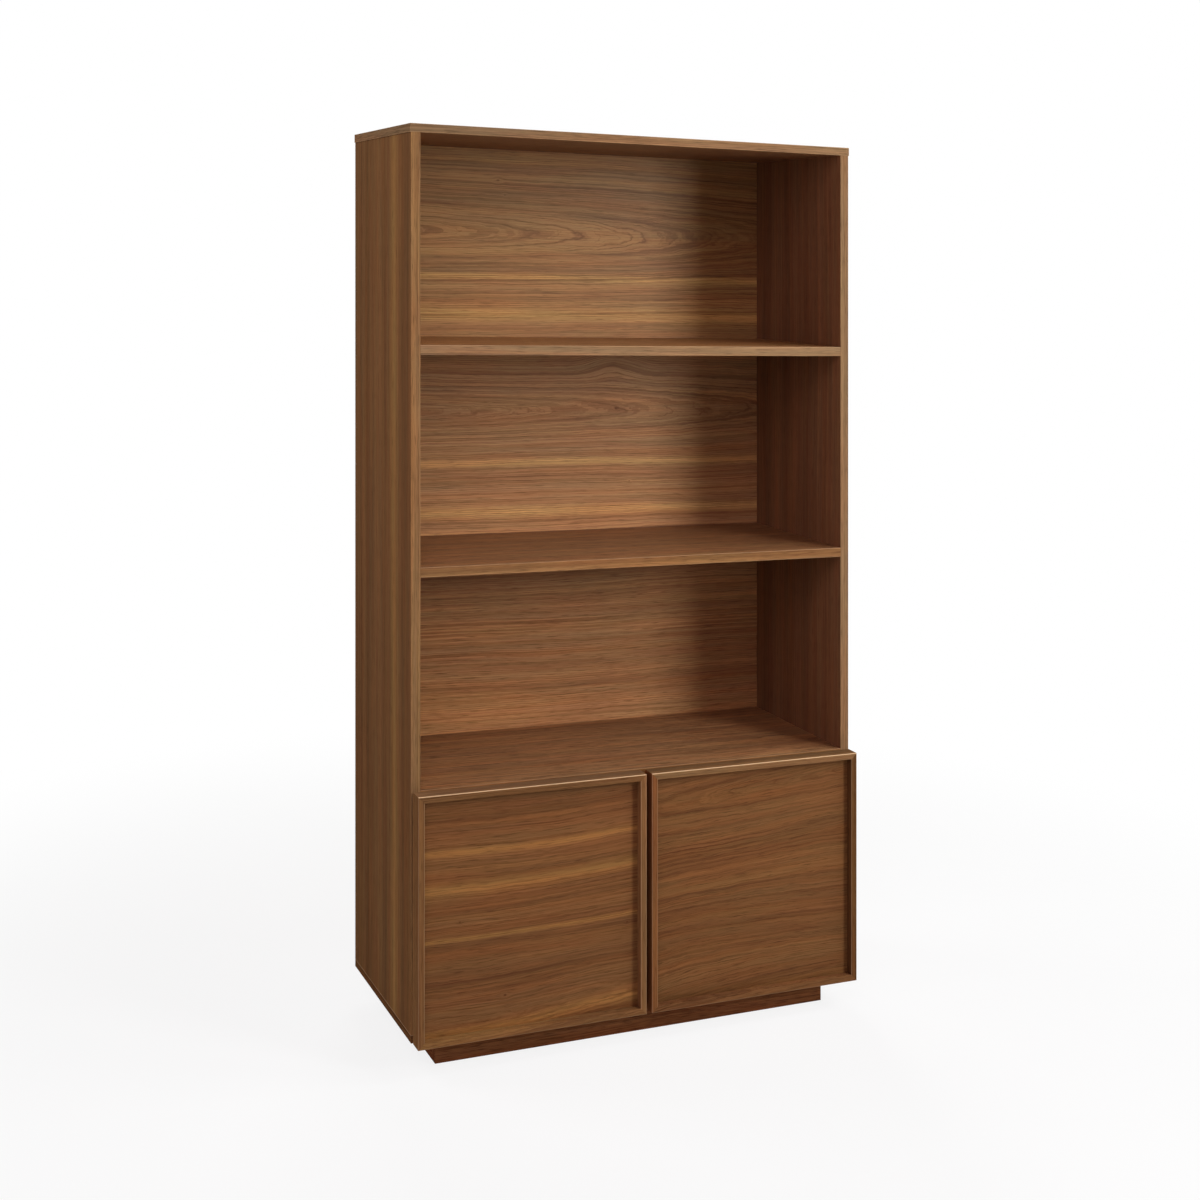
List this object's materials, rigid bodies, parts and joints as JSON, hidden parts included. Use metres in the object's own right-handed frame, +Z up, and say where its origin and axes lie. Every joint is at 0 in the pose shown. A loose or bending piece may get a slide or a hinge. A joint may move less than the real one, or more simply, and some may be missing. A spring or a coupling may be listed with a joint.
{
  "type": "bookcase with cabinet doors",
  "caption": "Tall bookcase with open shelf bays over a cabinet closed by framed overlay doors on concealed hinges, on a recessed plinth.",
  "frame": {"origin": "on the floor, under the centre of the overall box (glides to top panel, door fronts to carcass back)", "axes": "+Z up, +Y from the doors to the back, +X to the right of a person who faces the doors"},
  "size_m": [0.917, 0.407, 1.712],
  "materials": {
    "side_veneer": "satin walnut veneer, grain upright",
    "board_veneer": "satin walnut veneer, grain across the width",
    "back_veneer": "satin walnut veneer, grain across the width",
    "edge_veneer": "satin walnut edge banding",
    "plinth_veneer": "satin walnut veneer",
    "plain_wood": "bare beech",
    "glide_plastic": "matt nylon",
    "door_veneer": "satin walnut veneer, grain across the width",
    "frame_wood": "satin walnut",
    "hinge_nickel": "satin nickel plate",
    "zinc_steel": "bright zinc plate",
    "catch_plastic": "brown moulded plastic",
    "magnet_steel": "dull steel",
    "bumper_rubber": "soft clear rubber"
  },
  "bodies": {
    "carcass": {"left_side_panel": "side_veneer", "right_side_panel": "side_veneer", "top_panel": "board_veneer", "bottom_panel": "board_veneer", "cabinet_board": "board_veneer", "lower_shelf": "board_veneer", "upper_shelf": "board_veneer", "inner_shelf": "board_veneer", "cabinet_back_panel": "back_veneer", "lower_back_panel": "back_veneer", "middle_back_panel": "back_veneer", "upper_back_panel": "back_veneer", "left_side_edge_band": "edge_veneer", "right_side_edge_band": "edge_veneer", "top_edge_band": "edge_veneer", "bottom_edge_band": "edge_veneer", "cabinet_board_edge_band": "edge_veneer", "lower_shelf_edge_band": "edge_veneer", "upper_shelf_edge_band": "edge_veneer", "inner_shelf_edge_band": "edge_veneer", "plinth_front_rail": "plinth_veneer", "plinth_back_rail": "plinth_veneer", "plinth_left_rail": "plinth_veneer", "plinth_right_rail": "plinth_veneer", "plinth_centre_rail": "plinth_veneer", "plinth_corner_blocks": "plain_wood", "dowels": "plain_wood", "glides": "glide_plastic", "hinge_arms": "hinge_nickel", "hinge_plates": "hinge_nickel", "plate_screws": "zinc_steel", "arm_screws": "zinc_steel", "catch_screws": "zinc_steel", "block_screws": "zinc_steel", "bracket_screws": "zinc_steel", "wall_brackets": "zinc_steel", "shelf_pins": "zinc_steel", "catch_housings": "catch_plastic", "catch_magnets": "magnet_steel"},
    "left_door": {"left_door_panel": "door_veneer", "left_door_top_bar": "frame_wood", "left_door_bottom_bar": "frame_wood", "left_door_hinge_bar": "frame_wood", "left_door_meeting_bar": "frame_wood", "left_door_bumpers": "bumper_rubber", "left_hinge_cups": "hinge_nickel", "left_hinge_pins": "hinge_nickel", "left_cup_screws": "zinc_steel", "left_strike_plate": "zinc_steel"},
    "right_door": {"right_door_panel": "door_veneer", "right_door_top_bar": "frame_wood", "right_door_bottom_bar": "frame_wood", "right_door_hinge_bar": "frame_wood", "right_door_meeting_bar": "frame_wood", "right_door_bumpers": "bumper_rubber", "right_hinge_cups": "hinge_nickel", "right_hinge_pins": "hinge_nickel", "right_cup_screws": "zinc_steel", "right_strike_plate": "zinc_steel"}
  },
  "joints": [
    {"name": "left_door_hinge", "type": "hinge", "parent": "carcass", "child": "left_door", "pos_m": [-0.4475, -0.1775, 0.281], "axis": [0, 0, -1], "range_deg": [0, 100]},
    {"name": "right_door_hinge", "type": "hinge", "parent": "carcass", "child": "right_door", "pos_m": [0.4475, -0.1775, 0.281], "axis": [0, 0, 1], "range_deg": [0, 100]}
  ]
}
